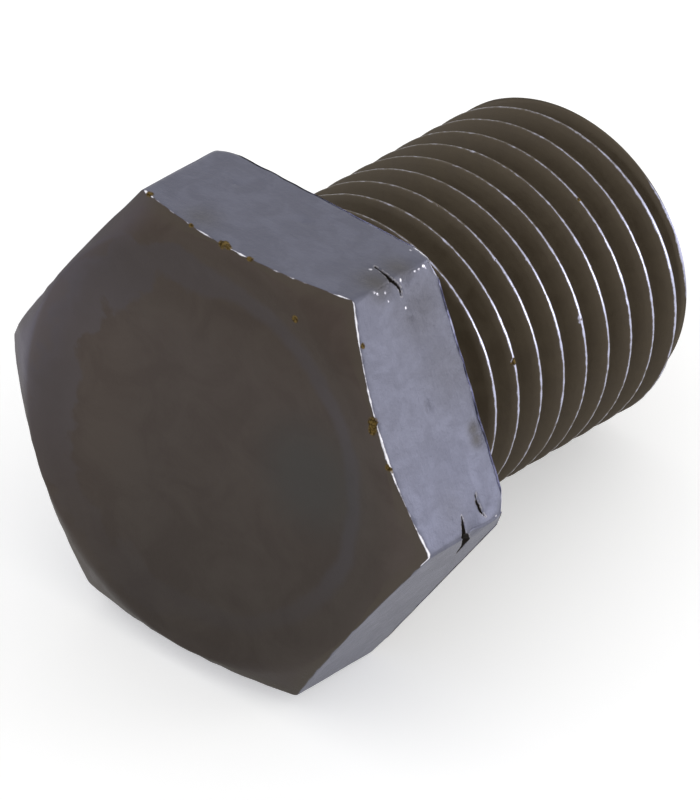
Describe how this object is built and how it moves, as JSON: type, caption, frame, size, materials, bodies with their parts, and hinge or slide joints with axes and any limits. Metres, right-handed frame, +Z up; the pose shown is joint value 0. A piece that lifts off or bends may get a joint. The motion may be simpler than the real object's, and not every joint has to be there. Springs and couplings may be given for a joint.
{
  "type": "drain plug",
  "caption": "Hexagon-head drain plug with a fine metric thread, black oxide steel, worn along the head's edges, lying on its side.",
  "frame": {"origin": "middle of the footprint's bounding box, on the surface that the plug lies on", "axes": "+Z up; the head is towards -Y and the thread's tip towards +Y; +X runs across the hexagon's corners, to the right seen from the head"},
  "size_m": [0.0218, 0.0258, 0.0197],
  "materials": {
    "black_steel": "black oxide, worn bright on edges and thread crests"
  },
  "bodies": {
    "root": {"drain_plug": "black_steel"}
  },
  "joints": []
}
